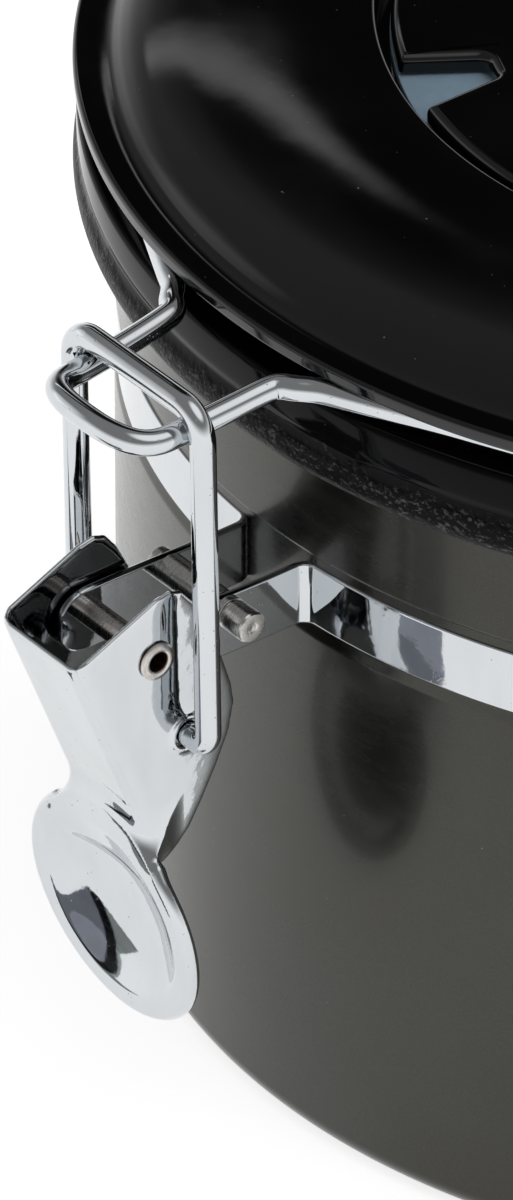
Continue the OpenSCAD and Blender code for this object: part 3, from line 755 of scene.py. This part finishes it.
# ---------------------------------------------------------------- CAD nodes that stay, with own materials
for name, key in {"base_pan": "tin", "hinge_bracket": "zinc", "lid_gasket": "rubber", "lid_liner": "liner",
                  "liner_screws": "tin", "dial_pivot": "dial", "wave_washer": "tin", "valve_body": "liner",
                  "valve_flap": "flap", "valve_filter": "felt", "valve_cap": "liner"}.items():
    obj = nodes[name]
    obj.data.materials.clear()
    obj.data.materials.append(LOOKS[key])


# ---------------------------------------------------------------- floor, light and camera
def stage_sheet(name, verts, faces, material):
    """Sheet in metres that belongs to the studio, not to the object."""
    mesh = bpy.data.meshes.new(name)
    mesh.from_pydata(verts, [], faces)
    mesh.materials.append(material)
    obj = bpy.data.objects.new(name, mesh)
    scene.collection.objects.link(obj)
    return obj


def floor_white(glow=0.74):
    """Pale matt floor that also shines a little, so that it comes out nearly white."""
    m, n, shader, where = start("floor_white", specular=0.2)
    tone = n.mix(n.between(n.noise(where, 3, 3), 0.3, 0.7), rgb(0.93, 0.93, 0.93), rgb(0.95, 0.95, 0.95))
    finish(n, shader, tone, n.between(n.noise(where, 40, 2), 0.3, 0.7, 0.75, 0.85), [])
    shader.inputs["Emission Color"].default_value = rgb(1, 1, 1)
    shader.inputs["Emission Strength"].default_value = glow
    return m


def card_tones():
    """Light blue-grey, black and pale grey, side by side as the thumb disc's dish sees them."""
    m, n, shader, where = start("card_tones", specular=0.0)
    xyz = n.new("ShaderNodeSeparateXYZ", {0: where}).outputs
    side = n.math("DIVIDE", n.math("ADD", xyz["X"], 0.004), n.math("ADD", xyz["Y"], 0.09))
    tone = n.mix(n.between(side, 0.63, 0.68), rgb(0.008, 0.008, 0.01), rgb(0.60, 0.64, 0.62))
    tone = n.mix(n.between(side, 0.46, 0.5), rgb(0.38, 0.40, 0.46), tone)
    patches = n.between(n.noise(where, 90, 2), 0.3, 0.7)
    tone = n.mix(patches, tone, n.mix(0.15, tone, rgb(0.2, 0.2, 0.2)))
    finish(n, shader, tone, n.between(n.noise(where, 40, 2), 0.3, 0.7, 0.8, 0.9), [])
    return m


edge = 60.0
stage_sheet("floor", [(-edge, -edge, 0), (edge, -edge, 0), (edge, edge, 0), (-edge, edge, 0)], [(0, 1, 2, 3)],
            floor_white())

# Card in front of the latch, which only reflections see: one part lies on the floor, one part stands
lying, top = 0.0004, 0.022
card = stage_sheet("card", [(-0.020, -0.1225, lying), (-0.040, -0.1215, lying), (-0.054, -0.160, lying),
                            (-0.002, -0.150, lying), (-0.054, -0.160, top), (-0.002, -0.150, top)],
                   [(0, 1, 2, 3), (3, 2, 4, 5)], card_tones())
card.visible_camera = card.visible_diffuse = card.visible_shadow = False

world = bpy.data.worlds.new("studio")
scene.world = world
world.use_nodes = True
w = Nodes(world.node_tree)
for node in list(w.tree.nodes):
    w.tree.nodes.remove(node)
toward = w.new("ShaderNodeTexCoord").outputs["Generated"]


def toward_sky(azimuth, elevation):
    a, e = math.radians(azimuth), math.radians(elevation)
    return Vector((math.cos(a) * math.cos(e), math.sin(a) * math.cos(e), math.sin(e)))


def lamp(direction, inner, outer, strength):
    """Round soft light in the sky: full inside inner degrees, nothing beyond outer degrees."""
    along = tuple(direction.normalized())
    dot = w.new("ShaderNodeVectorMath", {0: toward, 1: along}, operation="DOT_PRODUCT").outputs["Value"]
    return w.between(dot, math.cos(math.radians(outer)), math.cos(math.radians(inner)), 0.0, strength)


def darker(value, place, share):
    return w.math("MULTIPLY", value, w.math("SUBTRACT", 1.0, w.math("MULTIPLY", place, share)))


# Bright near the horizon and dim above it, with a dark gap behind the lid
height = w.new("ShaderNodeSeparateXYZ", {0: toward}).outputs["Z"]
level = w.between(height, -0.02, 0.52, 1.15, 0.24)
level = w.math("ADD", level, lamp(toward_sky(27, 66), 14, 34, 0.9))
level = w.math("ADD", level, lamp(toward_sky(-150, 20), 8, 20, 0.5))
level = darker(level, lamp(toward_sky(141, 33), 9, 24, 1.0), 0.97)
# Long soft strip light, seen in the crown of the lid
across = tuple(toward_sky(147, 36.2).cross(toward_sky(166, 27.2)).normalized())
off = w.new("ShaderNodeVectorMath", {0: toward, 1: across}, operation="DOT_PRODUCT").outputs["Value"]
strip_light = w.between(w.math("ABSOLUTE", off), 0.042, 0.004)
level = w.math("ADD", level, w.math("MULTIPLY", strip_light, lamp(toward_sky(157, 31.2), 8.5, 12.5, 1.05)))
# The camera itself sees plain white
sky = w.new("ShaderNodeBackground", {"Color": rgb(1, 1, 1), "Strength": level})
seen = w.new("ShaderNodeBackground", {"Color": rgb(1, 1, 1), "Strength": 1.0})
mixed = w.new("ShaderNodeMixShader", {0: w.new("ShaderNodeLightPath").outputs["Is Camera Ray"],
                                      1: sky.outputs[0], 2: seen.outputs[0]})
w.tree.links.new(mixed.outputs[0], w.new("ShaderNodeOutputWorld").inputs[0])
scene.view_settings.view_transform = "Standard"

camera = bpy.data.cameras.new("camera")
camera.lens, camera.sensor_width = 428.8, 36
camera.clip_start, camera.clip_end = 0.05, 200
eye = bpy.data.objects.new("camera", camera)
scene.collection.objects.link(eye)
yaw, pitch = 0.906, 0.606
ahead = Vector((-math.sin(yaw) * math.cos(pitch), math.cos(yaw) * math.cos(pitch), -math.sin(pitch)))
eye.location = (0.8656, -0.7518, 0.8225)
eye.rotation_mode = "QUATERNION"
eye.rotation_quaternion = ahead.to_track_quat("-Z", "Y")
scene.camera = eye
